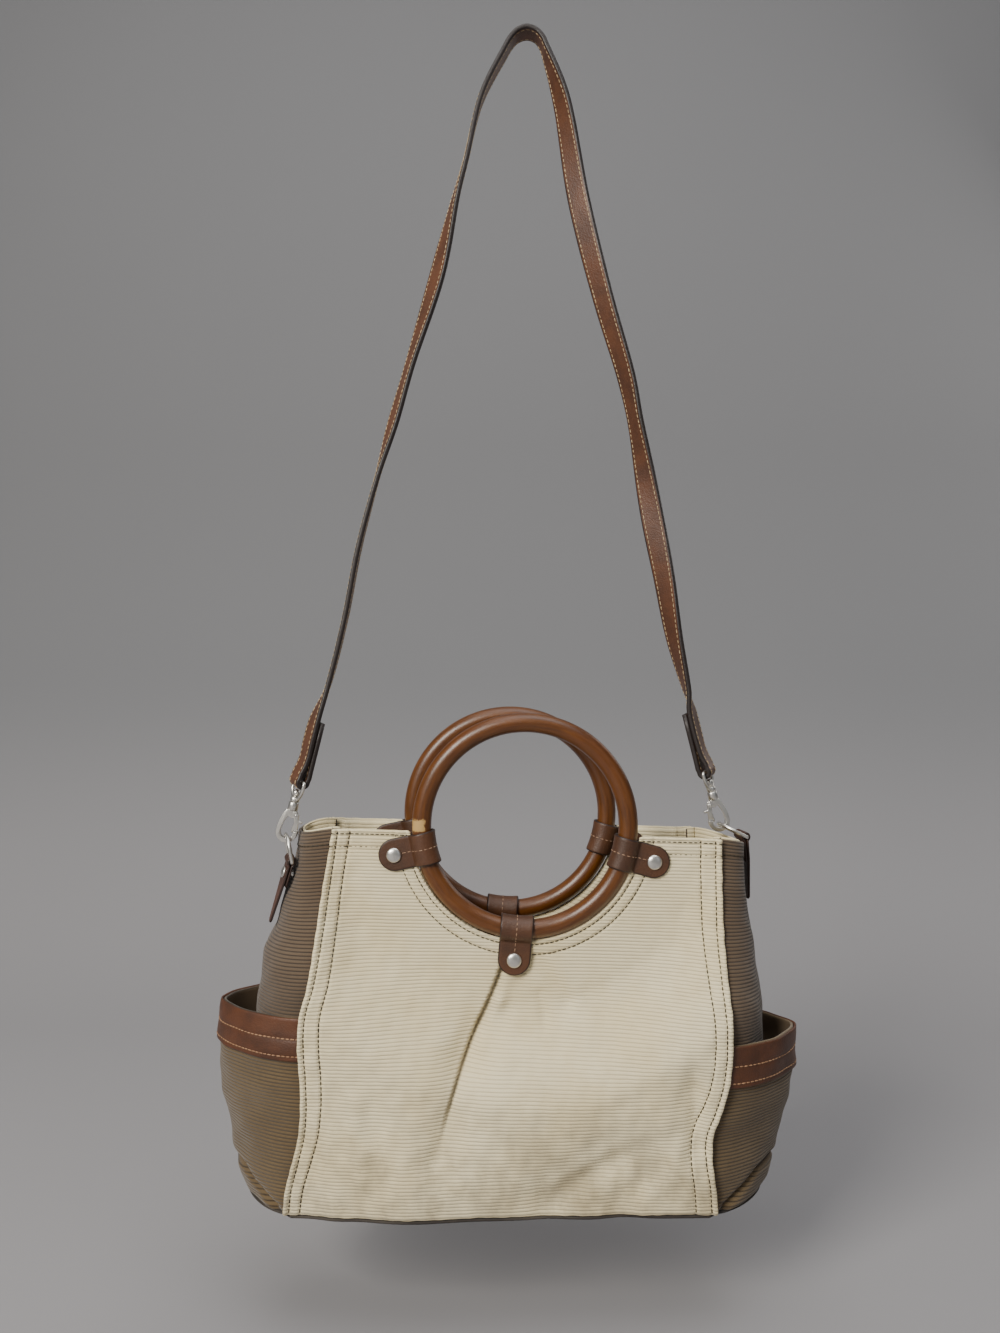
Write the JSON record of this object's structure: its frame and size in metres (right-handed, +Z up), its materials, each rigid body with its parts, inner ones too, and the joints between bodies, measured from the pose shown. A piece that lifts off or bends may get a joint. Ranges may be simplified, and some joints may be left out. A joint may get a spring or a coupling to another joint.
{
  "type": "wooden handle bag",
  "caption": "Ribbed canvas handbag with wooden ring handles, outer end pockets with leather bands, and a long leather shoulder strap on snap hooks, hung by the strap.",
  "frame": {"origin": "underside of the shoulder strap's top, where the bag hangs", "axes": "+Z up, +X towards the bag's right as seen from the front, the front faces -Y"},
  "size_m": [0.4025, 0.1179, 0.8024],
  "materials": {
    "cream_canvas": "ribbed cotton canvas, matt",
    "brown_canvas": "ribbed cotton canvas, matt",
    "pocket_canvas": "ribbed cotton canvas, matt",
    "base_board": "dark covered board, matt",
    "band_leather": "semi-matt with stitching",
    "tab_leather": "semi-matt",
    "strap_leather": "semi-matt with black painted edges",
    "lacquered_wood": "glossy amber lacquer",
    "nickel": "polished nickel plate, lightly worn"
  },
  "bodies": {
    "bag": {"back_bottom_rivet": "nickel", "back_bottom_tab": "tab_leather", "back_left_rivet": "nickel", "back_left_tab": "tab_leather", "back_panel": "cream_canvas", "back_right_rivet": "nickel", "back_right_tab": "tab_leather", "back_ring": "lacquered_wood", "base_panel": "base_board", "front_bottom_rivet": "nickel", "front_bottom_tab": "tab_leather", "front_left_rivet": "nickel", "front_left_tab": "tab_leather", "front_panel": "cream_canvas", "front_right_rivet": "nickel", "front_right_tab": "tab_leather", "front_ring": "lacquered_wood", "left_anchor": "tab_leather", "left_anchor_rivet": "nickel", "left_d_ring": "nickel", "left_facing": "cream_canvas", "left_gusset": "brown_canvas", "left_pocket": "pocket_canvas", "left_pocket_band": "band_leather", "left_snap_eye": "nickel", "left_snap_hook": "nickel", "right_anchor": "tab_leather", "right_anchor_rivet": "nickel", "right_d_ring": "nickel", "right_facing": "cream_canvas", "right_gusset": "brown_canvas", "right_pocket": "pocket_canvas", "right_pocket_band": "band_leather", "right_snap_eye": "nickel", "right_snap_hook": "nickel", "strap": "strap_leather"},
    "left_gate": {"left_snap_gate": "nickel"},
    "right_gate": {"right_snap_gate": "nickel"}
  },
  "joints": [
    {"name": "left_gate_hinge", "type": "hinge", "parent": "bag", "child": "left_gate", "pos_m": [-0.15808, -0.01299, -0.54167], "axis": [0, 1, 0], "range_deg": [0, 25], "stiffness_Nm_per_rad": 0.01, "springref_deg": -20.05},
    {"name": "right_gate_hinge", "type": "hinge", "parent": "bag", "child": "right_gate", "pos_m": [0.12721, 0.00064, -0.53619], "axis": [0, -1, 0], "range_deg": [0, 25], "stiffness_Nm_per_rad": 0.01, "springref_deg": -20.05}
  ]
}
